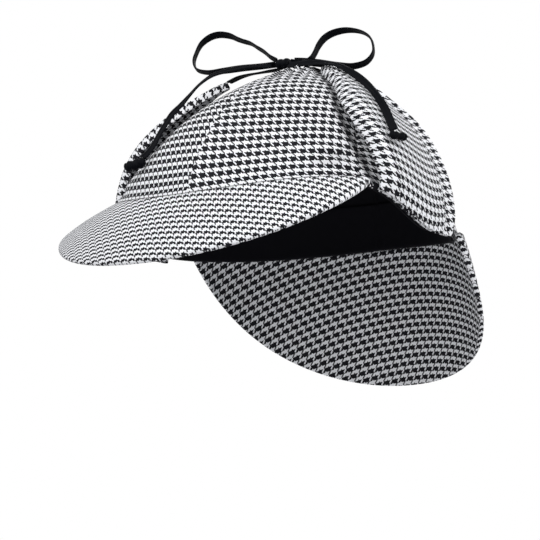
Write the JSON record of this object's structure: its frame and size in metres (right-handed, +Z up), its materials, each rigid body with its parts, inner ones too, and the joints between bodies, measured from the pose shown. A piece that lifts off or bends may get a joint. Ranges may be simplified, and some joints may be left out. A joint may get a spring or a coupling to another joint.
{
  "type": "deerstalker hat",
  "caption": "Gored cloth deerstalker in black and white houndstooth, with front and rear peaks and ear flaps tied over the crown in a bow.",
  "frame": {"origin": "middle of the head opening, level with the centre front and the centre back of the rim", "axes": "+Z up through the crown, -Y towards the front peak, +X to the wearer's left"},
  "size_m": [0.1988, 0.2596, 0.1937],
  "materials": {
    "houndstooth_crown": "matt woven cloth",
    "houndstooth_peak": "matt woven cloth over a stiff board",
    "houndstooth_flap": "matt woven cloth",
    "black_lining": "smooth black lining",
    "black_tape": "flat sewn tape with a soft sheen"
  },
  "bodies": {
    "root": {"crown": "houndstooth_crown", "front_peak": "houndstooth_peak", "rear_peak": "houndstooth_peak", "ear_flap_left": "houndstooth_flap", "ear_flap_right": "houndstooth_flap", "sweatband": "black_lining", "tie_left": "black_tape", "tie_right": "black_tape", "bow_loop_left": "black_tape", "bow_loop_right": "black_tape", "bow_tail_left": "black_tape", "bow_tail_right": "black_tape", "bow_knot": "black_tape", "tail_knot_left": "black_tape", "tail_knot_right": "black_tape"}
  },
  "joints": []
}
